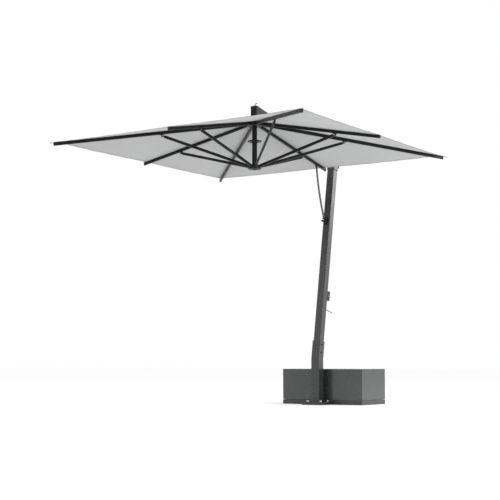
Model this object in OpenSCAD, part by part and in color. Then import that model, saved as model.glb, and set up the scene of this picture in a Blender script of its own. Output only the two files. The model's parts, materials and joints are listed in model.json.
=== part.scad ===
// Cantilever parasol: leaning mast, arm over the top, square canopy on eight folding ribs.
// Millimetres. Z is up, the mast stands on the origin, and the canopy is towards -Y.

/* [Canopy] */
// Side of the square canopy
canopy_side = 2980; // [2600:10:3200]
// Distance from the mast's foot to the canopy's axis
reach = 1300; // [1250:10:1400]
// Height of the upper hinge pins
pin_z = 3032; // [2900:1:3100]
// Height of the ribs' outer ends
edge_z = 2739; // [2600:1:2760]
// Half length of the sides, measured to the rib ends
rib_reach = 1500; // [1340:10:1610]
// Thickness of the canopy fabric as a solid
fabric_t = 2; // [2:0.5:4]

/* [Ribs] */
// Width of every rib
rib_w = 22; // [18:1:26]
// Depth of a side rib
side_rib_h = 32; // [28:1:36]
// Depth of a corner rib
corner_rib_h = 34; // [30:1:38]
// Distance from hinge pin to strut pin along a rib
bracket_x = 940; // [900:10:1040]
// Radius of the circle of upper hinge pins
hub_pin_r = 72; // [70:1:76]
// Width of a strut
strut_w = 20; // [16:1:22]
// Depth of a strut
strut_h = 30; // [24:1:32]

/* [Hubs] */
// Radius of the upper hub
hub_r = 86; // [84:1:88]
// Height of the lower hinge pins
low_pin_z = 2570; // [2500:1:2620]
// Radius of the circle of lower hinge pins
low_pin_r = 52; // [50:1:56]
// Outer radius of the centre tube
tube_r = 27; // [24:1:30]
// Radius of the flat disc on the centre tube
disc_r = 76; // [60:1:80]
// Height of the flat disc on the centre tube
disc_z = 2845; // [2750:1:2900]

/* [Mast and arm] */
// Lean of the mast away from the canopy, degrees
lean = 9.6; // [7:0.1:10]
// Height of the bend in the lower sleeve
kink_z = 515; // [480:5:560]
// Side of the lower sleeve's square tube
sleeve_w = 100; // [96:1:104]
// Side of the mast's square tube
mast_w = 90; // [80:1:90]
// Length of the mast's tube
mast_len = 2315; // [2300:1:2330]
// Width of the arm
arm_w = 70; // [60:1:72]
// Depth of the arm
arm_h = 100; // [90:1:110]
// Slope of the arm, degrees
arm_slope = 11; // [10.8:0.1:11.2]
// Height of the top of the head block
head_z = 3229; // [3220:1:3260]

/* [Base] */
// Width of the cover box
cover_w = 1050; // [1040:5:1200]
// Depth of the cover box
cover_d = 560; // [540:5:700]
// Height of the top of the cover box
cover_z = 405; // [380:5:440]
// Distance from the mast's axis to the cover's front
cover_gap = 100; // [95:5:130]
// Height of the base tray
tray_h = 50; // [40:1:60]
// Layers of concrete slabs
slab_layers = 6; // [2:1:6]

/* [Hidden] */
$fn = 48;
eps = 0.01;
SIDES = ["right", "rear_right", "rear", "rear_left", "left", "front_left", "front", "front_right"];
dark = [0.20, 0.21, 0.22];
black = [0.08, 0.08, 0.09];
steel = [0.62, 0.63, 0.65];

// the running clearance of every pin in its eye
running = 0.05;
hub_top = pin_z + 12;
hub_bottom = pin_z - 20;
eye_r = 12;
hub_pin_size = 4;
neck_w = 16;
neck_len = 26;
side_slope = atan2(pin_z - edge_z, rib_reach - hub_pin_r);
corner_slope = atan2((pin_z - edge_z) , rib_reach * sqrt(2) - hub_pin_r);
// height of the canopy planes' underside at the axis
fabric_z = pin_z + hub_pin_r * tan(side_slope) + side_rib_h / 2 / cos(side_slope) + 2.4;
fabric_hole = 62;
seam_gap = 0.7;

strut_pin_size = 3;
strut_eye_r = 9;
strut_neck = 24;
tongue_w = 10;
pin_drop = 14;
lug_wall = 3;
lug_gap = 5.5;
low_hub_r = 66;
low_hub_top = low_pin_z + 16;
low_hub_bottom = low_pin_z - 26;

mast_wall = 3;
sleeve_len = 214;
head_block_w = 76;
head_block_d = 40;
arm_len = 1800;
pulley_z = head_z - 40;
pulley_r = 16;
cover_wall = 3;
tray_wall = 4;
plate_t = 12;
tongue_h = 25;
slab = 500;
slab_t = 50;

// the rear rib's lug for the stay, and the stud that the stay hooks on
stay_lug_x = 1268;
stud_w = 1655;
stud_out = 56;
knob_w = 1613;
stud_r = 4.5;
hook_ring = 9.5;
stay_r = 11;
stay_bow = 20;
stay_drop = side_rib_h / 2 + pin_drop;
stay_top = [
    -reach + hub_pin_r + stay_lug_x * cos(side_slope) - stay_drop * sin(side_slope),
    pin_z - stay_lug_x * sin(side_slope) - stay_drop * cos(side_slope)
];
stud_v = -(mast_w / 2 + stud_out);
stay_foot = [
    stud_w * sin(lean) + stud_v * cos(lean),
    kink_z + stud_w * cos(lean) - stud_v * sin(lean)
];

winch_w = 763;
winch_size = [60, 78, 106];
drum_journal = 8;
lever_w = 608;
lever_len = 185;
lever_droop = 14;

function is_corner(k) = k % 2 == 1;
function rib_h(k) = is_corner(k) ? corner_rib_h : side_rib_h;
function rib_slope(k) = is_corner(k) ? corner_slope : side_slope;
function rib_len(k) = (rib_reach * (is_corner(k) ? sqrt(2) : 1) - hub_pin_r) / cos(rib_slope(k));
// the strut's upper pin, as distance from the axis and height
function strut_top(k) = [
    hub_pin_r + bracket_x * cos(rib_slope(k)) - (rib_h(k) / 2 + pin_drop) * sin(rib_slope(k)),
    pin_z - bracket_x * sin(rib_slope(k)) - (rib_h(k) / 2 + pin_drop) * cos(rib_slope(k))
];
function strut_run(k) = strut_top(k) - [low_pin_r, low_pin_z];

// ---------- shapes used by several pieces ----------

module rounded_rect(w, h, r) {
    square([w, h - 2 * r], center = true);
    square([w - 2 * r, h], center = true);
    for (x = [-1, 1], y = [-1, 1])
        translate([x * (w / 2 - r), y * (h / 2 - r)]) circle(r, $fn = 24);
}

// a solid bar along X, w wide in Y and h deep in Z
module bar_x(len, w, h, r) {
    rotate([90, 0, 90]) linear_extrude(len) rounded_rect(w, h, r);
}

module tube_x(len, w, h, wall, r) {
    rotate([90, 0, 90]) linear_extrude(len) difference() {
        rounded_rect(w, h, r);
        rounded_rect(w - 2 * wall, h - 2 * wall, r - wall / 2);
    }
}

module tube_z(len, w, h, wall, r) {
    linear_extrude(len) difference() {
        rounded_rect(w, h, r);
        rounded_rect(w - 2 * wall, h - 2 * wall, r - wall / 2);
    }
}

module rod_y(r, len) {
    rotate([90, 0, 0]) cylinder(r = r, h = len, center = true);
}

module rod_x(r, len) {
    rotate([0, 90, 0]) cylinder(r = r, h = len, center = true);
}

// a flat eye on a neck that runs along +X to len, with its bore at the origin
module eye_and_neck(len, w, eye, bore) {
    difference() {
        union() {
            rod_y(eye, w);
            translate([0, -w / 2, -eye * 0.9]) cube([len, w, eye * 1.8]);
        }
        rod_y(bore, w + 2);
    }
}

// a hexagonal bolt head with its washer, standing on z = 0
module bolt_head(across, height) {
    cylinder(r = across * 0.8, h = 2);
    translate([0, 0, 2]) cylinder(r = across / sqrt(3), h = height, $fn = 6);
}

// ---------- placing ----------

module at_side(k) {
    translate([0, -reach, 0]) rotate([0, 0, 45 * k]) children();
}

module on_rib(k) {
    at_side(k) translate([hub_pin_r, 0, pin_z]) rotate([0, rib_slope(k), 0]) children();
}

module on_strut(k) {
    run = strut_run(k);
    at_side(k) translate([low_pin_r, 0, low_pin_z]) rotate([0, -atan2(run[1], run[0]), 0]) children();
}

// the leaning part's frame: Z along the mast from the bend, -Y towards the canopy
module on_mast() {
    translate([0, 0, kink_z]) rotate([-lean, 0, 0]) children();
}

// the arm's frame: X along the arm from the head block, falling towards the mast
module on_arm() {
    translate([0, -reach + head_block_d / 2, head_z - arm_h / 2 / cos(arm_slope)])
        rotate([-arm_slope, 0, 0]) rotate([0, 0, 90]) children();
}

// ---------- base ----------

module base_tray() {
    inner_w = cover_w - 2 * tray_wall;
    inner_d = cover_d - 2 * tray_wall;
    color(dark) {
        translate([-cover_w / 2, cover_gap, 0]) difference() {
            cube([cover_w, cover_d, tray_h]);
            translate([tray_wall, tray_wall, tray_wall]) cube([inner_w, inner_d, tray_h]);
        }
        translate([-130, -130, 0]) cube([260, cover_gap + 130 + eps, tongue_h]);
    }
}

module concrete_slabs() {
    slab_pitch = slab_t + 0.5;
    color([0.60, 0.59, 0.56])
        for (x = [-slab - 4, 4], layer = [0 : slab_layers - 1])
            translate([x, cover_gap + (cover_d - slab) / 2, tray_wall + 0.5 + layer * slab_pitch])
                cube([slab, slab, slab_t]);
}

module base_cover() {
    bottom = tray_h + 3;
    color(dark) translate([-cover_w / 2, cover_gap, bottom]) difference() {
        cube([cover_w, cover_d, cover_z - bottom]);
        translate([cover_wall, cover_wall, -1])
            cube([cover_w - 2 * cover_wall, cover_d - 2 * cover_wall, cover_z - bottom - cover_wall + 1]);
    }
}

module foot_plate() {
    hole_r = 9;
    color(dark) translate([0, 0, tongue_h]) difference() {
        linear_extrude(plate_t) rounded_rect(230, 196, 10);
        for (x = [-85, 85], y = [-75, 75])
            translate([x, y, -1]) cylinder(r = hole_r, h = plate_t + 2);
    }
}

module foot_bolts() {
    color(steel) for (x = [-85, 85], y = [-75, 75]) {
        translate([x, y, tongue_h + plate_t]) bolt_head(24, 10);
        translate([x, y, tongue_h]) cylinder(r = 8, h = plate_t + eps);
    }
}

// ---------- mast ----------

// a square bar that stands on z = from, bends at the kink and leans on for a length of to
module bent_bar(w, from, to) {
    h = w / 2;
    mitre = h * tan(lean / 2);
    end = [to * sin(lean), kink_z + to * cos(lean)];
    across = [h * cos(lean), -h * sin(lean)];
    profile = [[-h, from], [h, from], [h, kink_z - mitre], end + across, end - across, [-h, kink_z + mitre]];
    rotate([90, 0, 90]) linear_extrude(w, center = true) polygon(profile);
}

module mast_sleeve() {
    bottom = tongue_h + plate_t;
    color(dark) difference() {
        bent_bar(sleeve_w, bottom, sleeve_len);
        bent_bar(sleeve_w - 8, bottom - 1, sleeve_len + 1);
    }
}

module mast() {
    color(dark) on_mast() translate([0, 0, 31])
        tube_z(mast_len - 31, mast_w, mast_w, mast_wall, 8);
}

// a collar round the top of the mast, with two cheeks that hold the arm
module mast_head() {
    collar_w = mast_w + 10;
    cheek_t = 6;
    cheek_gap = arm_w + 1;
    color(dark) {
        on_mast() translate([0, 0, mast_len - 42]) difference() {
            linear_extrude(48) rounded_rect(collar_w, collar_w, 9);
            translate([0, 0, -1]) linear_extrude(43.5) rounded_rect(mast_w + 0.6, mast_w + 0.6, 8.3);
            translate([-cheek_gap / 2, -collar_w, 46.3]) cube([cheek_gap, 2 * collar_w, 10]);
        }
        on_mast() for (x = [-1, 1])
            translate([x * (cheek_gap + cheek_t) / 2 - cheek_t / 2, -collar_w / 2 + 6, mast_len + 5])
                cube([cheek_t, collar_w - 12, arm_h - 14]);
    }
}

// the bolt heads on the lower sleeve's sides and on the cheeks round the arm
module mast_bolts() {
    color(steel) on_mast() for (x = [-1, 1]) {
        for (z = [80, 170])
            translate([x * sleeve_w / 2, 0, z]) rotate([0, x * 90, 0]) bolt_head(13, 5);
        for (y = [-26, 26])
            translate([x * (arm_w / 2 + 6.5), y, mast_len + 52]) rotate([0, x * 90, 0]) bolt_head(17, 7);
    }
}

module arm() {
    root_len = 24;
    color(dark) difference() {
        on_arm() translate([-root_len, 0, 0]) tube_x(arm_len + root_len - 5, arm_w, arm_h, 4, 8);
        translate([-arm_w, -reach + head_block_d / 2 - 200, head_z - 300]) cube([2 * arm_w, 200, 600]);
    }
}

module arm_end_cap() {
    color(black) on_arm() translate([arm_len - 5, 0, 0]) {
        bar_x(5, arm_w, arm_h, 8);
        translate([-15, 0, 0]) bar_x(16, arm_w - 9, arm_h - 9, 6);
    }
}

// ---------- head ----------

module head_block() {
    slot_w = 18;
    slot_h = 60;
    color(dark) translate([0, -reach, 0]) difference() {
        translate([0, 0, hub_top]) linear_extrude(head_z - hub_top) rounded_rect(head_block_w, head_block_d, 3);
        translate([-slot_w / 2, -17, pulley_z - slot_h / 2]) cube([slot_w, 34, slot_h]);
        translate([0, 0, pulley_z]) rod_x(5, head_block_w + 2);
        translate([0, 0, hub_top - 1]) cylinder(r = 7, h = pulley_z - hub_top);
    }
}

// a bent rod that leans back over the arm, with its tip turned down
module head_hook() {
    r = 4;
    rise = 42;
    tilt = 42;
    base_h = 3.6;
    color(dark) translate([0, -reach, head_z]) {
        cylinder(r = 11, h = base_h);
        translate([0, 0, base_h - 0.4]) rotate([-tilt, 0, 0]) {
            cylinder(r = r, h = rise);
            translate([0, 0, rise]) sphere(r = r + 0.5);
            translate([0, 0, rise]) rotate([-tilt, 0, 0]) cylinder(r = r, h = 22);
        }
    }
}

module rope_pulley() {
    color(steel) translate([0, -reach, pulley_z]) rotate([0, 90, 0]) difference() {
        rotate_extrude() difference() {
            translate([0, -6]) square([pulley_r, 12]);
            translate([pulley_r + 1, 0]) circle(r = 4.5);
        }
        cylinder(r = 5 + running, h = 20, center = true);
    }
}

module pulley_axle() {
    color(steel) translate([0, -reach, pulley_z]) {
        rod_x(5, head_block_w);
        for (x = [-1, 1]) translate([x * (head_block_w / 2 + 1.5), 0, 0]) rod_x(9, 3);
    }
}

// a round hub with one slot for each hinged arm, made as a solid of revolution
module slotted_hub(outer, bottom, top, floor_z, pin_radius, pin_height, slot_w, slot_in, pin_size, pin_len) {
    translate([0, -reach, 0]) difference() {
        translate([0, 0, bottom]) cylinder(r = outer, h = top - bottom, $fn = 96);
        for (k = [0 : 7]) rotate([0, 0, 45 * k]) {
            translate([pin_radius - slot_in, -slot_w / 2, floor_z]) cube([outer, slot_w, top]);
            translate([pin_radius, 0, pin_height]) rod_y(pin_size, pin_len);
        }
        translate([0, 0, bottom - 1]) cylinder(r = 7, h = top - bottom + 2);
    }
}

module hub_pins(pin_radius, pin_height, pin_size, pin_len) {
    for (k = [0 : 7])
        at_side(k) translate([pin_radius, 0, pin_height]) rod_y(pin_size, pin_len);
}

module upper_hub() {
    slot_in = eye_r + 2;
    color(black) slotted_hub(hub_r, hub_bottom, hub_top, hub_bottom - 1, hub_pin_r, pin_z,
        neck_w + 1, slot_in, hub_pin_size, 40);
}

module upper_hub_pins() {
    color(steel) hub_pins(hub_pin_r, pin_z, hub_pin_size, 40);
}

// ---------- the sliding part: tube, disc and lower hub ----------

module centre_tube() {
    color(dark) translate([0, -reach, low_hub_top]) difference() {
        cylinder(r = tube_r, h = hub_bottom - 4 - low_hub_top);
        translate([0, 0, -1]) cylinder(r = tube_r - 2.5, h = hub_bottom);
    }
}

module centre_disc() {
    t = 12;
    color(black) translate([0, -reach, disc_z - t / 2]) rotate_extrude($fn = 96) {
        translate([tube_r, 0]) square([disc_r - tube_r - t / 2, t]);
        translate([disc_r - t / 2, t / 2]) circle(r = t / 2);
        translate([tube_r, -10]) square([6, t + 20]);
    }
}

module lower_hub() {
    slot_in = strut_eye_r + 2;
    color(black) {
        slotted_hub(low_hub_r, low_hub_bottom + 6, low_hub_top, low_pin_z - 12, low_pin_r, low_pin_z,
            tongue_w + 1, slot_in, strut_pin_size, 30);
        translate([0, -reach, low_hub_bottom]) difference() {
            cylinder(r = low_hub_r + 5, h = 6 + eps, $fn = 96);
            translate([0, 0, -1]) cylinder(r = 7, h = 9);
        }
    }
}

module lower_hub_pins() {
    color(steel) hub_pins(low_pin_r, low_pin_z, strut_pin_size, 30);
}

// a shallow dome below the lower hub
module hub_cap() {
    cap_r = 44;
    cap_h = 12;
    dome_r = (cap_r * cap_r + cap_h * cap_h) / (2 * cap_h);
    color(black) translate([0, -reach, low_hub_bottom]) intersection() {
        translate([0, 0, dome_r - cap_h]) sphere(r = dome_r, $fn = 96);
        translate([0, 0, -cap_h]) cylinder(r = cap_r, h = cap_h);
    }
}

// ---------- ribs, struts and canopy ----------

module rib(k) {
    wall = 2;
    h = rib_h(k);
    color(dark) on_rib(k) {
        difference() {
            union() {
                eye_and_neck(neck_len + 2, neck_w, eye_r, hub_pin_size + running);
                translate([neck_len, 0, 0]) bar_x(20, rib_w, h, 4);
            }
            rod_y(hub_pin_size + running, neck_w + 2);
        }
        translate([neck_len + 20 - eps, 0, 0]) tube_x(rib_len(k) - neck_len - 20, rib_w, h, wall, 4);
    }
}

// a plate under a rib with two ears and a pin between them
module lug(k) {
    foot_len = 54;
    translate([0, 0, -rib_h(k) / 2]) {
        translate([-foot_len / 2, -rib_w / 2, -lug_wall]) cube([foot_len, rib_w, lug_wall]);
        for (y = [-1, 1]) translate([0, y * (lug_gap + lug_wall / 2), 0]) {
            translate([-12, -lug_wall / 2, -pin_drop]) cube([24, lug_wall, pin_drop - lug_wall + eps]);
            translate([0, 0, -pin_drop]) rod_y(12, lug_wall);
        }
        translate([0, 0, -pin_drop]) rod_y(strut_pin_size, 2 * (lug_gap + lug_wall) + 3);
    }
}

module rib_end(k) {
    cap = 10;
    h = rib_h(k);
    translate([rib_len(k), 0, 0]) {
        bar_x(cap, rib_w + 2, h + 2, 4);
        translate([-16, 0, 0]) bar_x(17, rib_w - 4.4, h - 4.4, 3);
        // a wire hook that holds the fabric's corner
        if (is_corner(k)) translate([cap - 1, 0, h / 2 - 6]) {
            rotate([0, 74, 0]) cylinder(r = 2.5, h = 30);
            rotate([0, 74, 0]) translate([0, 0, 30]) sphere(r = 2.5);
            rotate([0, 74, 0]) translate([0, 0, 30]) rotate([0, 60, 0]) cylinder(r = 2.5, h = 14);
        }
    }
}

module rib_fittings(k) {
    color(black) on_rib(k) {
        translate([bracket_x, 0, 0]) lug(k);
        if (SIDES[k] == "rear") translate([stay_lug_x, 0, 0]) lug(k);
        rib_end(k);
    }
}

// a hollow strut with solid ends, each drawn down to an eye
module strut(k) {
    len = norm(strut_run(k));
    bore = strut_pin_size + running;
    plug = 14;
    wall = 2;
    color(dark) on_strut(k) {
        for (end = [0, 1]) translate([end * len, 0, 0]) rotate([0, 180 * end, 0])
            eye_and_neck(strut_neck + 2, tongue_w, strut_eye_r, bore);
        difference() {
            translate([strut_neck, 0, 0]) bar_x(len - 2 * strut_neck, strut_w, strut_h, 5);
            translate([strut_neck + plug, 0, 0])
                bar_x(len - 2 * (strut_neck + plug), strut_w - 2 * wall, strut_h - 2 * wall, 4);
        }
    }
}

// the fabric from rib k to the next rib, as a thin plate on its side's plane
module canopy_gore(k) {
    side = is_corner(k) ? k + 1 : k;
    turn = is_corner(k) ? -1 : 1;
    near = fabric_hole;
    far = canopy_side / 2;
    run = 1 / cos(side_slope);
    color([0.80, 0.80, 0.79]) at_side(side) translate([0, 0, fabric_z]) rotate([0, side_slope, 0])
        linear_extrude(fabric_t) polygon([
            [near * run, turn * seam_gap],
            [far * run, turn * seam_gap],
            [far * run, turn * (far - seam_gap)],
            [near * run, turn * (near - seam_gap)]
        ]);
}

// ---------- stay, winch and lever ----------

// a bowed rod from the rear rib to the mast, with an eye above and an open hook below
module stay_bar() {
    run = stay_foot - stay_top;
    corner = hook_ring / sqrt(2);
    tip = [norm(run) - corner, -corner];
    chord = norm(tip);
    bow_r = chord * chord / 8 / stay_bow + stay_bow / 2;
    half = asin(chord / 2 / bow_r);
    color(dark) translate([0, stay_top[0], stay_top[1]]) rotate([atan2(run[1], run[0]), 0, 0]) {
        difference() {
            union() {
                rod_x(strut_eye_r, tongue_w);
                rotate([atan2(tip[1], tip[0]), 0, 0]) translate([0, chord / 2, bow_r - stay_bow])
                    rotate([0, 90, 0]) rotate([0, 0, -half])
                        rotate_extrude(angle = 2 * half, $fn = 360) translate([bow_r, 0]) circle(r = stay_r, $fn = 24);
            }
            rod_x(strut_pin_size + running, 4 * tongue_w);
            for (x = [-1, 1]) translate([x * (tongue_w / 2 + 5), 0, 0]) rod_x(strut_eye_r + 4, 10);
            translate([0, norm(run), 0]) rod_x(hook_ring - 4, 30);
        }
        translate([0, norm(run), 0]) rotate([0, 90, 0]) rotate([0, 0, -45])
            rotate_extrude(angle = 150, $fn = 96) translate([hook_ring, 0]) circle(r = 4, $fn = 24);
    }
}

module stay_bracket() {
    ear_x = 16;
    plate_top = stud_w + 30;
    color(black) on_mast() {
        translate([-24, -mast_w / 2 - 5, knob_w - 24]) cube([48, 5, plate_top - knob_w + 24]);
        for (x = [-1, 1]) translate([x * ear_x, stud_v, stud_w]) {
            rod_x(10, 5);
            translate([-2.5, 0, -10]) cube([5, stud_out - 3, 20]);
        }
        translate([0, stud_v, stud_w]) rod_x(stud_r, 2 * ear_x + 8);
        // a clamping knob on its screw, below the stud
        translate([0, -mast_w / 2 - 4, knob_w]) rotate([90, 0, 0]) {
            cylinder(r = 6, h = 72);
            translate([0, 0, 70]) cylinder(r = 12, h = 22);
        }
    }
}

module winch_case() {
    wall = 3;
    color(black) on_mast() translate([0, mast_w / 2, winch_w]) difference() {
        translate([0, 0, -winch_size[2] / 2]) linear_extrude(winch_size[2])
            translate([0, winch_size[1] / 2]) rounded_rect(winch_size[0], winch_size[1], 5);
        translate([-winch_size[0] / 2 + wall, -1, -winch_size[2] / 2 + wall])
            cube([winch_size[0] - 2 * wall, winch_size[1] - wall + 1, winch_size[2] - 2 * wall]);
        translate([0, winch_size[1] / 2, 0]) rod_x(drum_journal + running, winch_size[0] + 2);
    }
}

// a flanged drum on two journals, with a square socket for a loose crank
module winch_drum() {
    color(steel) on_mast() translate([0, (mast_w + winch_size[1]) / 2, winch_w]) difference() {
        union() {
            rod_x(drum_journal, winch_size[0] + 12);
            rod_x(13, 44);
            for (x = [-20, 20]) translate([x, 0, 0]) rod_x(19, 3);
        }
        translate([winch_size[0] / 2 - 8, -5, -5]) cube([20, 10, 10]);
    }
}

// a short lever hinged between two ears on the back of the mast
module release_lever() {
    pivot_out = 14;
    color(dark) on_mast() translate([0, mast_w / 2 + pivot_out, lever_w]) rotate([lean - lever_droop, 0, 0]) {
        difference() {
            rod_x(9, 10);
            rod_x(3 + running, 12);
        }
        translate([0, 8.5, 0]) rotate([-90, 0, 0]) cylinder(r = 5, h = lever_len - 8.5);
        translate([0, lever_len, 0]) sphere(r = 7);
    }
}

module lever_bracket() {
    color(black) on_mast() translate([0, mast_w / 2, lever_w]) {
        translate([-16, 0, -18]) cube([32, 3, 36]);
        for (x = [-1, 1]) translate([x * 8 - 1.5, 0, -9]) cube([3, 23, 18]);
        translate([0, 14, 0]) rod_x(3, 22);
    }
}

base_tray();
concrete_slabs();
base_cover();
foot_plate();
foot_bolts();
mast_sleeve();
mast();
mast_head();
mast_bolts();
arm();
arm_end_cap();
head_block();
head_hook();
rope_pulley();
pulley_axle();
upper_hub();
upper_hub_pins();
centre_tube();
centre_disc();
lower_hub();
lower_hub_pins();
hub_cap();
stay_bar();
stay_bracket();
winch_case();
winch_drum();
lever_bracket();
release_lever();
for (k = [0 : 7]) rib(k);
for (k = [0 : 7]) rib_fittings(k);
for (k = [0 : 7]) strut(k);
for (k = [0 : 7]) canopy_gore(k);
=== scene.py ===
"""Cantilever parasol: the looks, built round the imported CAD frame. Metres, Z up."""
import json
import math

import bmesh
import bpy
from mathutils import Matrix, Vector


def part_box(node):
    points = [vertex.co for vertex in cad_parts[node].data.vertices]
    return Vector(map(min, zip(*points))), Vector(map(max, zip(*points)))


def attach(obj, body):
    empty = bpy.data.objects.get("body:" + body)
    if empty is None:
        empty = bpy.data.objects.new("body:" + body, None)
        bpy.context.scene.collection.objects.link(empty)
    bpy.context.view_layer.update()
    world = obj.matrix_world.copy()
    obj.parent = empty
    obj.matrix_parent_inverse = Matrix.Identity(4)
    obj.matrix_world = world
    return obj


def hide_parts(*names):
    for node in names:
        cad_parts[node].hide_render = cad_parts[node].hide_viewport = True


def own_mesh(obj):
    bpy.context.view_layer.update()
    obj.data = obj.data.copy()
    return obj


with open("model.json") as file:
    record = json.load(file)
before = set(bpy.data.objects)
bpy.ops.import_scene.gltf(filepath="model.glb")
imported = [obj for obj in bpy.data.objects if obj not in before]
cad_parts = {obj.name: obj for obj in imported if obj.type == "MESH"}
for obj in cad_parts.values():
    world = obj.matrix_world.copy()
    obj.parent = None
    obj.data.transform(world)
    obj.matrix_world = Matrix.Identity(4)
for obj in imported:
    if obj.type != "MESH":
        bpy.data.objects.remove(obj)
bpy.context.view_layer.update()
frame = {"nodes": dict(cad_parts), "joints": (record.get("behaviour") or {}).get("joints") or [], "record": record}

# the eight ribs, turning from +X; the odd ones run to the canopy's corners
SIDES = ["right", "rear_right", "rear", "rear_left", "left", "front_left", "front", "front_right"]
NODES = frame["nodes"]
JOINTS = {joint["name"]: joint for joint in frame["joints"]}


# ---------- camera, floor and lights ----------

CAMERA_PLACE = (6.974, -11.850, 0.494)
CAMERA_TURN = 0.588
CAMERA_PITCH = 0.093
CAMERA_LENS = 85.87

FLOOR_HALF = 60.0
FLOOR_DROP = 0.0005
FLOOR_GREY = 0.96
FLOOR_GLOW = 0.16

# the backdrop's light on the -Y side, and the Y of the direction where it starts and stops rising
DIM_SIDE = 0.50
DIM_FROM_Y = -1.0
DIM_TO_Y = 0.35

# name, place, point aimed at, side of the square, watts
LIGHTS = [
    ("key", (9.0, -2.0, 6.5), (0, -0.8, 1.4), 5.0, 430),
    ("low_side", (9.5, -3.0, 1.6), (-0.8, -1.2, 2.6), 3.5, 240),
    ("fill", (-8.0, -7.0, 4.0), (0, -1.0, 1.5), 5.0, 90),
    ("rim", (3.0, 7.5, 5.0), (0, 0, 1.5), 4.0, 140),
]


def make_camera():
    """The camera stands low in front of the canopy's right corner and looks up a little."""
    data = bpy.data.cameras.new("camera")
    data.sensor_width = 36.0
    data.lens = CAMERA_LENS
    data.clip_end = 200
    camera = bpy.data.objects.new("camera", data)
    camera.location = CAMERA_PLACE
    camera.rotation_euler = (math.pi / 2 + CAMERA_PITCH, 0, CAMERA_TURN)
    bpy.context.collection.objects.link(camera)
    bpy.context.scene.camera = camera


def area_light(name, place, target, size, power):
    data = bpy.data.lights.new(name, "AREA")
    data.shape = "SQUARE"
    data.size = size
    data.energy = power
    light = bpy.data.objects.new(name, data)
    light.location = place
    aim = Vector(target) - Vector(place)
    light.rotation_euler = aim.to_track_quat("-Z", "Y").to_euler()
    bpy.context.collection.objects.link(light)


def make_floor():
    mesh = bpy.data.meshes.new("floor")
    corners = [(x * FLOOR_HALF, y * FLOOR_HALF, 0) for x, y in ((-1, -1), (1, -1), (1, 1), (-1, 1))]
    mesh.from_pydata(corners, [], [(0, 1, 2, 3)])
    floor = bpy.data.objects.new("floor", mesh)
    bpy.context.collection.objects.link(floor)
    floor.location.z = -FLOOR_DROP
    mat = bpy.data.materials.new("floor_pale")
    mat.use_nodes = True
    shader = mat.node_tree.nodes["Principled BSDF"]
    shader.inputs["Base Color"].default_value = (FLOOR_GREY, FLOOR_GREY, FLOOR_GREY, 1)
    shader.inputs["Roughness"].default_value = 0.9
    shader.inputs["Specular IOR Level"].default_value = 0.1
    shader.inputs["Emission Color"].default_value = (1, 1, 1, 1)
    shader.inputs["Emission Strength"].default_value = FLOOR_GLOW
    mesh.materials.append(mat)


def make_world():
    """The camera sees a white backdrop, but its -Y side gives less light, so faces there are darker."""
    world = bpy.data.worlds.new("studio")
    world.use_nodes = True
    tree = world.node_tree
    way = tree.nodes.new("ShaderNodeTexCoord")
    parts = tree.nodes.new("ShaderNodeSeparateXYZ")
    spread = tree.nodes.new("ShaderNodeMapRange")
    shade = tree.nodes.new("ShaderNodeValToRGB")
    seen = tree.nodes.new("ShaderNodeMix")
    seen.data_type = "RGBA"
    seen.inputs["B"].default_value = (1, 1, 1, 1)
    spread.inputs["From Min"].default_value = DIM_FROM_Y
    spread.inputs["From Max"].default_value = DIM_TO_Y
    shade.color_ramp.elements[0].color = (DIM_SIDE, DIM_SIDE, DIM_SIDE, 1)
    shade.color_ramp.elements[1].color = (1, 1, 1, 1)
    tree.links.new(way.outputs["Generated"], parts.inputs["Vector"])
    tree.links.new(parts.outputs["Y"], spread.inputs["Value"])
    tree.links.new(spread.outputs["Result"], shade.inputs["Fac"])
    tree.links.new(shade.outputs["Color"], seen.inputs["A"])
    tree.links.new(tree.nodes.new("ShaderNodeLightPath").outputs["Is Camera Ray"], seen.inputs["Factor"])
    tree.links.new(seen.outputs["Result"], tree.nodes["Background"].inputs["Color"])
    bpy.context.scene.world = world
    bpy.context.scene.view_settings.view_transform = "Standard"


def make_lights():
    for name, place, target, size, power in LIGHTS:
        area_light(name, place, target, size, power)


# ---------- materials ----------

WEAR_RADIUS = 0.0022
# scale of the two wave textures that make the weave, in the cloth's own UV metres
WEAVE_SCALE = 190.0


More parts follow.
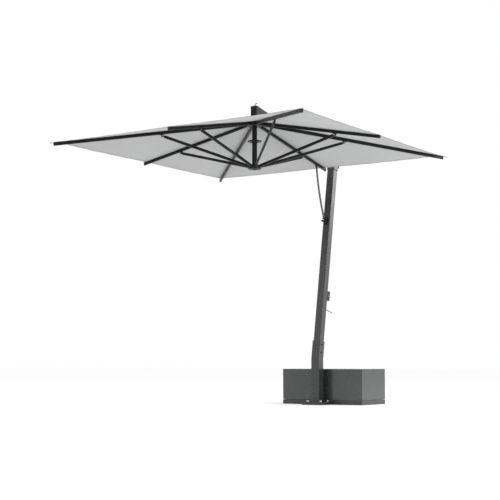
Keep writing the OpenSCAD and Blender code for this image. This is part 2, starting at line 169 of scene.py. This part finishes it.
class Maker:
    """A material's node tree, with short calls for the nodes that the materials here share."""

    def __init__(self, name, colour, rough, metallic=0.0):
        self.mat = bpy.data.materials.new(name)
        self.mat.use_nodes = True
        self.tree = self.mat.node_tree
        self.shader = self.tree.nodes["Principled BSDF"]
        self.shader.inputs["Base Color"].default_value = (*colour, 1)
        self.shader.inputs["Roughness"].default_value = rough
        self.shader.inputs["Metallic"].default_value = metallic
        self.where = self.node("ShaderNodeTexCoord").outputs["Object"]

    def node(self, kind, **settings):
        made = self.tree.nodes.new(kind)
        for key, value in settings.items():
            setattr(made, key, value)
        return made

    def link(self, out, into):
        self.tree.links.new(out, into)

    def stretched(self, scale):
        made = self.node("ShaderNodeMapping")
        self.link(self.where, made.inputs["Vector"])
        made.inputs["Scale"].default_value = scale
        return made.outputs["Vector"]

    def noise(self, scale, detail=3.0, rough=0.5, vector=None):
        made = self.node("ShaderNodeTexNoise")
        self.link(vector or self.where, made.inputs["Vector"])
        made.inputs["Scale"].default_value = scale
        made.inputs["Detail"].default_value = detail
        made.inputs["Roughness"].default_value = rough
        return made.outputs["Fac"]

    def ramp(self, value, low, high, at=(0.3, 0.7)):
        """Maps a 0 to 1 value to a colour between low and high, or to a grey if they are numbers."""
        made = self.node("ShaderNodeValToRGB")
        self.link(value, made.inputs["Fac"])
        ends = [c if hasattr(c, "__len__") else (c, c, c) for c in (low, high)]
        for element, place, colour in zip(made.color_ramp.elements, at, ends):
            element.position = place
            element.color = (*colour, 1)
        return made.outputs["Color"]

    def blend(self, kind, first, second, amount=1.0):
        made = self.node("ShaderNodeMix", data_type="RGBA", blend_type=kind)
        made.inputs["Factor"].default_value = amount
        self.link(first, made.inputs["A"])
        self.link(second, made.inputs["B"])
        return made.outputs["Result"]

    def bump(self, height, strength, distance, after=None):
        made = self.node("ShaderNodeBump")
        made.inputs["Strength"].default_value = strength
        made.inputs["Distance"].default_value = distance
        self.link(height, made.inputs["Height"])
        if after:
            self.link(after, made.inputs["Normal"])
        return made.outputs["Normal"]

    def worn_edges(self):
        """Patches of light along edges, where the rounded normal leaves the face's own."""
        rounded = self.node("ShaderNodeBevel", samples=4)
        rounded.inputs["Radius"].default_value = WEAR_RADIUS
        facing = self.node("ShaderNodeVectorMath", operation="DOT_PRODUCT")
        self.link(rounded.outputs["Normal"], facing.inputs[0])
        self.link(self.node("ShaderNodeNewGeometry").outputs["True Normal"], facing.inputs[1])
        edge = self.ramp(facing.outputs["Value"], 1.0, 0.0, at=(0.80, 0.97))
        return self.blend("MULTIPLY", edge, self.ramp(self.noise(45.0, 4.0), 0.25, 1.0, at=(0.4, 0.62)))

    def finish(self, colour=None, rough=None, normal=None):
        for socket, out in (("Base Color", colour), ("Roughness", rough), ("Normal", normal)):
            if out:
                self.link(out, self.shader.inputs[socket])
        return self.mat


def powder_coat(name, dark, light, rough, shine=0.5):
    """Baked powder paint: a fine orange peel, faint dust in the colour and slightly polished edges."""
    make = Maker(name, dark, rough)
    make.shader.inputs["Specular IOR Level"].default_value = shine
    dust = make.ramp(make.noise(5.0, 5.0, 0.6), dark, light)
    grain = make.noise(900.0, 2.0)
    flecks = make.ramp(grain, (0.86, 0.86, 0.86), (1.1, 1.1, 1.1))
    colour = make.blend("MULTIPLY", dust, flecks, 0.8)
    wear = make.blend("ADD", colour, make.ramp(make.worn_edges(), 0.0, 0.035, at=(0.0, 1.0)), 1.0)
    sheen = make.ramp(make.noise(11.0, 4.0), rough - 0.04, rough + 0.06)
    peel = make.bump(make.noise(420.0, 3.0), 0.06, 0.0003)
    return make.finish(wear, sheen, make.bump(grain, 0.05, 0.0002, peel))


def nylon(name, dark, light):
    """Moulded glass-filled nylon with a spark-eroded grain."""
    make = Maker(name, dark, 0.5)
    make.shader.inputs["Specular IOR Level"].default_value = 0.25
    colour = make.ramp(make.noise(14.0, 4.0), dark, light)
    grain = make.noise(650.0, 4.0, 0.7)
    sheen = make.ramp(make.noise(40.0, 3.0), 0.42, 0.6)
    return make.finish(colour, sheen, make.bump(grain, 0.35, 0.0005))


def brushed_steel(name, dark, light):
    """Steel with fine drawn lines, in the tones given."""
    make = Maker(name, dark, 0.3, 1.0)
    lines = make.noise(260.0, 4.0, 0.6, make.stretched((1.0, 1.0, 14.0)))
    colour = make.ramp(lines, dark, light)
    sheen = make.ramp(make.noise(30.0, 3.0), 0.22, 0.42)
    return make.finish(colour, sheen, make.bump(lines, 0.2, 0.0003))


def concrete(name):
    """Cast concrete: stains, sand grain and small pores."""
    make = Maker(name, (0.4, 0.39, 0.37), 0.9)
    stain = make.ramp(make.noise(6.0, 6.0, 0.65), (0.30, 0.29, 0.27), (0.48, 0.47, 0.44))
    sand = make.noise(260.0, 3.0)
    colour = make.blend("MULTIPLY", stain, make.ramp(sand, 0.75, 1.05), 0.8)
    pores = make.node("ShaderNodeTexVoronoi")
    make.link(make.where, pores.inputs["Vector"])
    pores.inputs["Scale"].default_value = 70.0
    pits = make.ramp(pores.outputs["Distance"], 0.0, 1.0, at=(0.05, 0.2))
    return make.finish(colour, None, make.bump(sand, 0.4, 0.001, make.bump(pits, 0.5, 0.002)))


def fabric(name, light, shade, see_through=0.18):
    """Solution-dyed acrylic: a plain weave in the cloth's own UV directions, with slubs and soft stains."""
    make = Maker(name, light, 0.86)
    make.shader.inputs["Sheen Weight"].default_value = 0.25
    make.shader.inputs["Sheen Roughness"].default_value = 0.5
    make.shader.inputs["Specular IOR Level"].default_value = 0.25
    cloth = make.node("ShaderNodeTexCoord").outputs["UV"]
    threads = []
    for direction in ("X", "Y"):
        wave = make.node("ShaderNodeTexWave", wave_type="BANDS", bands_direction=direction)
        make.link(cloth, wave.inputs["Vector"])
        wave.inputs["Scale"].default_value = WEAVE_SCALE
        wave.inputs["Distortion"].default_value = 0.6
        wave.inputs["Detail"].default_value = 1.0
        threads.append(wave.outputs["Color"])
    weave = make.blend("MULTIPLY", *threads)
    slub = make.node("ShaderNodeMapping")
    make.link(cloth, slub.inputs["Vector"])
    slub.inputs["Scale"].default_value = (14.0, 240.0, 1.0)
    slubs = make.noise(1.0, 2.0, 0.5, slub.outputs["Vector"])
    tone = make.ramp(make.noise(1.3, 4.0, 0.55), shade, light)
    colour = make.blend("MULTIPLY", tone, make.ramp(slubs, 0.965, 1.02), 1.0)
    colour = make.blend("MULTIPLY", colour, make.ramp(weave, 0.95, 1.0, at=(0.0, 0.6)), 1.0)
    normal = make.bump(weave, 0.35, 0.0005, make.bump(slubs, 0.15, 0.0004))
    make.finish(colour, None, normal)
    through = make.node("ShaderNodeBsdfTranslucent")
    make.link(colour, through.inputs["Color"])
    mixed = make.node("ShaderNodeMixShader")
    mixed.inputs["Fac"].default_value = see_through
    make.link(make.shader.outputs["BSDF"], mixed.inputs[1])
    make.link(through.outputs["BSDF"], mixed.inputs[2])
    make.link(mixed.outputs["Shader"], make.tree.nodes["Material Output"].inputs["Surface"])
    return make.mat


def make_materials():
    """One material for each slot of the record, and three more for tape, thread and blackened steel."""
    recipes = [
        (powder_coat, "frame_paint", (0.018, 0.0195, 0.020), (0.023, 0.0245, 0.025), 0.28, 0.8),
        (powder_coat, "alu_paint", (0.005, 0.0055, 0.006), (0.008, 0.009, 0.0095), 0.38, 0.22),
        (powder_coat, "cover_paint", (0.026, 0.028, 0.0285), (0.031, 0.033, 0.0335), 0.22, 1.0),
        (nylon, "black_nylon", (0.008, 0.0085, 0.009), (0.014, 0.0145, 0.015)),
        (brushed_steel, "steel", (0.42, 0.42, 0.44), (0.66, 0.66, 0.68)),
        (brushed_steel, "black_oxide_steel", (0.035, 0.036, 0.038), (0.07, 0.071, 0.074)),
        (concrete, "concrete"),
        (fabric, "canopy_fabric", (0.415, 0.42, 0.42), (0.38, 0.385, 0.385)),
        (fabric, "canopy_tape", (0.39, 0.395, 0.395), (0.355, 0.36, 0.36), 0.05),
        (nylon, "thread", (0.36, 0.365, 0.365), (0.44, 0.445, 0.445)),
    ]
    return {name: make(name, *looks) for make, name, *looks in recipes}


MATERIALS = make_materials()
SLOT_OF = {part["node"]: part["material_slot"] for part in frame["record"]["subparts"]}

# nodes whose finish differs from their slot's: blackened steel, and the mast's glossier paint
OWN_FINISH = {"mast_bolts": "black_oxide_steel", "pulley_axle": "black_oxide_steel", "mast": "frame_paint"}
# radius of the rounded edges by slot, 1 mm where none is given
ROUNDING = {"concrete": 0.003, "steel": 0.0005, "cover_paint": 0.0015}


def dress_cad_nodes():
    """Every CAD node keeps its shape, takes its material and gets softly rounded edges."""
    for name, node in NODES.items():
        slot = SLOT_OF[name]
        node.data.materials.clear()
        node.data.materials.append(MATERIALS[OWN_FINISH.get(name, slot)])
        bevel = node.modifiers.new("edges", "BEVEL")
        bevel.width = ROUNDING.get(slot, 0.0010)
        bevel.segments = 2
        bevel.limit_method = "ANGLE"
        bevel.angle_limit = math.radians(40)
        bevel.harden_normals = True


# ---------- shared building steps ----------

def new_piece(name, mesh, slot, body, material=None, smooth=True):
    """Adds a piece that rides on a body. Its finish is its slot's, unless another material is named."""
    piece = bpy.data.objects.new(name, mesh)
    bpy.context.collection.objects.link(piece)
    mesh.materials.append(MATERIALS[material or slot])
    if smooth:
        for face in mesh.polygons:
            face.use_smooth = True
    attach(piece, body)
    return piece


def grid_mesh(name, rows, uvs):
    """A sheet through a grid of points, one row after another, with a UV for each point in metres."""
    mesh = bpy.data.meshes.new(name)
    across = len(rows[0])
    points = [p for row in rows for p in row]
    faces = []
    for i in range(len(rows) - 1):
        for j in range(across - 1):
            a = i * across + j
            faces.append((a, a + 1, a + across + 1, a + across))
    mesh.from_pydata(points, [], faces)
    layer = mesh.uv_layers.new(name="cloth")
    flat = [p for row in uvs for p in row]
    for loop in mesh.loops:
        layer.data[loop.index].uv = flat[loop.vertex_index]
    if mesh.polygons[0].normal.z < 0:
        mesh.flip_normals()
    return mesh


def finished_mesh(name, made):
    mesh = bpy.data.meshes.new(name)
    made.to_mesh(mesh)
    made.free()
    return mesh


def thicken(piece, thickness, offset=1.0):
    solid = piece.modifiers.new("thickness", "SOLIDIFY")
    solid.thickness = thickness
    solid.offset = offset


# ---------- canopy ----------

HUB_AXIS = Vector((0, JOINTS["pulley_spin"]["pos_m"][1], 0))
GORE_LOW, GORE_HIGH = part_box("canopy_gore_right")
FABRIC_T = 0.002
CANOPY_HALF = GORE_HIGH.x
CANOPY_HOLE = 0.062
# slope of each of the four flat sides, from the height that one gore loses over its run
CANOPY_SLOPE = (GORE_HIGH.z - GORE_LOW.z - FABRIC_T) / (CANOPY_HALF - CANOPY_HOLE)
# height at which the four sides' upper faces would meet on the hub's axis
CANOPY_TOP_Z = GORE_HIGH.z + CANOPY_SLOPE * CANOPY_HOLE
# scale of the cloth's hang between two ribs, and height of the small folds in it
SAG = 0.011
DRAG = 0.0012

HEM_WIDTH = 0.034
SEAM_HALF = 0.013
STITCH_PITCH = 0.012
STITCH_LENGTH = 0.0075
STITCH_THICK = 0.0011
# how much a tape over a corner rib falls to its sides, as height for each metre across
CORNER_FALL = 0.16


def side_turn(k):
    """Turns and moves a point from a rib along +X to rib k."""
    return Matrix.Translation(HUB_AXIS) @ Matrix.Rotation(math.radians(45 * k), 4, "Z")


def is_corner(k):
    return k % 2 == 1


def canopy_height(d, s):
    """Height of the cloth at distance d out from the hub along the middle of a side.

    s runs across, from 0 at the side's middle rib to 1 at the corner rib.
    """
    out = d / CANOPY_HALF
    between = 4 * s * (1 - s)
    sag = SAG * out ** 1.3 * between * (1 - 0.45 * out ** 8)
    # small folds that fan out from the hub, a little slanted, and fade towards it
    drag = DRAG * out ** 2 * between * math.sin(34 * s + 9 * out)
    return CANOPY_TOP_Z - FABRIC_T / 2 - CANOPY_SLOPE * d - sag + drag


def rib_run(k):
    """How far rib k reaches out from the hub, and the height it loses in each metre of that."""
    longer = math.sqrt(2) if is_corner(k) else 1
    return CANOPY_HALF * longer, CANOPY_SLOPE / longer


def gore_point(k, d, s, lift=0.0):
    """A point on gore k. Its side's plane is that of the neighbouring side rib, and s = 1 is the corner."""
    side = k + 1 if is_corner(k) else k
    turn = -1 if is_corner(k) else 1
    return side_turn(side) @ Vector((d, turn * d * s, canopy_height(d, s) + lift))


def make_gore(k):
    """One gore of the canopy, from its own rib to the next. It stands for that gore's CAD node."""
    along, across = 48, 28
    rows = []
    uvs = []
    for i in range(along + 1):
        d = CANOPY_HOLE + (CANOPY_HALF - CANOPY_HOLE) * i / along
        rows.append([gore_point(k, d, j / across) for j in range(across + 1)])
        uvs.append([(d, d * j / across) for j in range(across + 1)])
    name = "canopy_" + SIDES[k]
    piece = new_piece(name, grid_mesh(name, rows, uvs), "canopy_fabric", "rib_" + SIDES[k])
    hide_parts("canopy_gore_" + SIDES[k])
    return piece


def gather(piece):
    """Gives the piece its own copy of its mesh."""
    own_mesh(piece)


def make_strip(name, k, row_at, step, thick, sections=60):
    """A tape of cloth along a line of the canopy.

    row_at(t) gives the points across it at t from 0 to 1, and step is the distance between them.
    """
    rows = []
    uvs = []
    for i in range(sections + 1):
        row = row_at(i / sections)
        rows.append(row)
        uvs.append([(i / sections * 1.5, j * step) for j in range(len(row))])
    piece = new_piece(name, grid_mesh(name, rows, uvs), "canopy_fabric", "rib_" + SIDES[k], "canopy_tape")
    thicken(piece, thick)
    return piece


def make_hem(k):
    """The doubled hem along a gore's outer edge."""
    inner = CANOPY_HALF - HEM_WIDTH

    def row(t):
        return [gore_point(k, d, t, 0.0004) for d in (inner, inner + HEM_WIDTH * 0.5, CANOPY_HALF)]

    return make_strip("hem_" + SIDES[k], k, row, HEM_WIDTH / 2, 0.0018)


def side_fall(k):
    """How steeply a tape along rib k falls to its sides."""
    return CORNER_FALL if is_corner(k) else 0.02


def make_seam(k):
    """The felled seam over rib k, a tape that covers both gores' edges."""
    reach, fall = rib_run(k)
    crown = 0.0006
    profile = [(-1, 0), (-0.5, crown), (0, crown), (0.5, crown), (1, 0)]

    def row(t):
        r = CANOPY_HOLE + (reach - CANOPY_HOLE) * t
        points = []
        for share, up in profile:
            y = share * SEAM_HALF
            z = CANOPY_TOP_Z - fall * r - abs(y) * side_fall(k) + up
            points.append(side_turn(k) @ Vector((r, y, z)))
        return points

    return make_strip("seam_" + SIDES[k], k, row, SEAM_HALF / 2, 0.0012)


def make_stitches(name, lines, body):
    """Rows of thread stitches. Each line is a function from 0 to 1 to a point, with its length."""
    made = bmesh.new()
    for line, run in lines:
        count = int(run / STITCH_PITCH)
        for i in range(count):
            start = line((i + 0.1) / count)
            end = line((i + 0.1 + STITCH_LENGTH / STITCH_PITCH) / count)
            turn = (end - start).to_track_quat("X", "Z")
            box = Matrix.Translation((start + end) / 2) @ turn.to_matrix().to_4x4()
            box @= Matrix.Diagonal(((end - start).length, STITCH_THICK, STITCH_THICK, 1))
            bmesh.ops.create_cube(made, size=1.0, matrix=box)
    return new_piece(name, finished_mesh(name, made), "canopy_fabric", body, "thread", smooth=False)


def hem_stitches(k):
    """Two rows of stitches on the hem, seen from below and from above."""
    rows = []
    for inset in (0.005, 0.029):
        for lift in (-0.0002, 0.0026):
            rows.append((lambda t, i=inset, u=lift: gore_point(k, CANOPY_HALF - i, t, u), CANOPY_HALF))
    return make_stitches("stitches_hem_" + SIDES[k], rows, "rib_" + SIDES[k])


def seam_stitches(k):
    """A row of stitches along each edge of the seam's tape, ending short of the hub and the tip."""
    reach, fall = rib_run(k)
    run = reach - CANOPY_HOLE - 0.08
    rows = []
    for y in (-0.0095, 0.0095):
        def line(t, y=y):
            r = CANOPY_HOLE + 0.06 + run * t
            z = CANOPY_TOP_Z - fall * r - abs(y) * side_fall(k)
            return side_turn(k) @ Vector((r, y, z + 0.0016))
        rows.append((line, run))
    return make_stitches("stitches_seam_" + SIDES[k], rows, "rib_" + SIDES[k])


def make_corner_tab(k):
    """A webbing tab on the cloth at rib k's end, turned down over the edge."""
    reach, fall = rib_run(k)
    half = 0.012
    across_fall = 0.14 if is_corner(k) else 0.0
    # distance past the canopy's edge, and height over the cloth
    profile = [(-0.090, 0.0015), (-0.045, 0.0018), (-0.004, 0.0016), (0.010, 0.0002), (0.022, -0.006)]
    rows = []
    uvs = []
    for i, (dr, up) in enumerate(profile):
        r = reach + dr
        z = CANOPY_TOP_Z - fall * min(r, reach) + up
        rows.append([side_turn(k) @ Vector((r, y, z - abs(y) * across_fall)) for y in (-half, 0, half)])
        uvs.append([(i * 0.03, j * half) for j in range(3)])
    name = "corner_tab_" + SIDES[k]
    piece = new_piece(name, grid_mesh(name, rows, uvs), "canopy_fabric", "rib_" + SIDES[k], "canopy_tape")
    thicken(piece, 0.0014)
    return piece


def make_apex_collar():
    """A fabric collar round the head block, over the gores. It stays put when they fold."""
    # radius, and height over the cloth
    rings = [
        (0.046, 0.0085), (0.056, 0.0055), (0.066, 0.0042),
        (0.076, 0.0036), (0.085, 0.0030), (0.088, 0.0012),
    ]
    around = 64
    rows = []
    uvs = []
    for r, up in rings:
        row = []
        for j in range(around + 1):
            a = 2 * math.pi * j / around
            side = max(abs(math.cos(a)), abs(math.sin(a)))
            z = CANOPY_TOP_Z - CANOPY_SLOPE * r * side + up
            row.append(HUB_AXIS + Vector((r * math.cos(a), r * math.sin(a), z)))
        rows.append(row)
        uvs.append([(r, j * 0.01) for j in range(around + 1)])
    mesh = grid_mesh("apex_collar", rows, uvs)
    made = bmesh.new()
    made.from_mesh(mesh)
    bmesh.ops.remove_doubles(made, verts=made.verts, dist=1e-5)
    made.to_mesh(mesh)
    made.free()
    piece = new_piece("apex_collar", mesh, "canopy_fabric", "root", "canopy_tape")
    thicken(piece, 0.0015, -1.0)
    return piece


def make_canopy():
    """Eight gores with hems, seams and stitches. What lies along a rib isn't gathered."""
    for k in range(8):
        gore = make_gore(k)
        parts = [make_hem(k), hem_stitches(k)]
        seam_parts = [make_seam(k), seam_stitches(k), make_corner_tab(k)]
        for piece in [gore] + parts:
            gather(piece)


# ---------- small details ----------

WELD_STEP = 0.004
WELD_SIDES = 8
WELD_RADIUS = 0.0045
WELD_RIPPLE = 0.14
RIVET_RADIUS = 0.0058
RIVET_HEIGHT = 0.0032
# half the length of the pins through the ears under a rib
PIN_HALF = 0.0098


def ring_mesh(name, corners, radius, ripple):
    """A weld bead along a closed outline, with the ripples that the torch leaves."""
    path = []
    for a, b in zip(corners, corners[1:] + corners[:1]):
        count = max(2, int((b - a).length / WELD_STEP))
        path += [a + (b - a) * i / count for i in range(count)]
    around = [2 * math.pi * s / WELD_SIDES for s in range(WELD_SIDES)]
    made = bmesh.new()
    rings = []
    for i, point in enumerate(path):
        ahead = path[(i + 1) % len(path)] - path[i - 1]
        turn = ahead.to_track_quat("Z", "Y")
        size = radius * (1 + ripple * math.sin(i * 1.9))
        offsets = [Vector((size * math.cos(t), size * math.sin(t), 0)) for t in around]
        rings.append([made.verts.new(point + turn @ offset) for offset in offsets])
    for i, ring in enumerate(rings):
        after = rings[(i + 1) % len(rings)]
        for s in range(WELD_SIDES):
            then = (s + 1) % WELD_SIDES
            made.faces.new((ring[s], ring[then], after[then], after[s]))
    return finished_mesh(name, made)


def make_foot_weld():
    """The bead where the mast's sleeve stands on the foot plate."""
    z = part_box("mast_sleeve")[0].z + 0.001
    half = 0.0495
    corners = [Vector((x, y, z)) for x, y in ((-half, -half), (half, -half), (half, half), (-half, half))]
    new_piece("foot_weld", ring_mesh("foot_weld", corners, WELD_RADIUS, WELD_RIPPLE), "frame_paint", "root")


def dome_points(radius, height, steps, sides):
    """The points of a shallow domed head that stands on Z = 0, ring by ring, and its top."""
    levels = [(0.0, radius)]
    for i in range(1, steps):
        a = math.pi / 2 * i / steps
        levels.append((height * (0.25 + 0.75 * math.sin(a)), radius * math.cos(a) ** 0.7))
    turns = [2 * math.pi * j / sides for j in range(sides)]
    rings = [[Vector((r * math.cos(t), r * math.sin(t), z)) for t in turns] for z, r in levels]
    return rings, Vector((0, 0, height))


def add_dome(made, place, out, radius, height):
    """Adds one rivet head to a bmesh, on place, with its top towards out."""
    rings, top = dome_points(radius, height, 5, 16)
    turn = Matrix.Translation(place) @ out.to_track_quat("Z", "Y").to_matrix().to_4x4()
    loops = [[made.verts.new(turn @ p) for p in ring] for ring in rings]
    count = len(loops[0])
    for below, above in zip(loops, loops[1:]):
        for j in range(count):
            then = (j + 1) % count
            made.faces.new((below[j], below[then], above[then], above[j]))
    tip = made.verts.new(turn @ top)
    for j in range(count):
        made.faces.new((loops[-1][j], loops[-1][(j + 1) % count], tip))
    made.faces.new(list(reversed(loops[0])))


def make_rivets(name, joints, body):
    """Bright rivet heads on both ends of the pins that these joints turn on."""
    made = bmesh.new()
    for joint in joints:
        place = Vector(joint["pos_m"])
        axis = Vector(joint["axis"])
        for end in (-1, 1):
            add_dome(made, place + axis * PIN_HALF * end, axis * end, RIVET_RADIUS, RIVET_HEIGHT)
    new_piece(name, finished_mesh(name, made), "steel", body)


def make_strut_rivets():
    """The pins of the struts, and of the stay, run through ears under the ribs."""
    for side in SIDES:
        joints = [JOINTS["strut_swing_" + side]]
        if side == "rear":
            joints.append(JOINTS["stay_swing"])
        make_rivets("rivets_" + side, joints, "rib_" + side)


make_camera()
make_floor()
make_world()
make_lights()
dress_cad_nodes()
make_canopy()
make_apex_collar()
make_foot_weld()
make_strut_rivets()
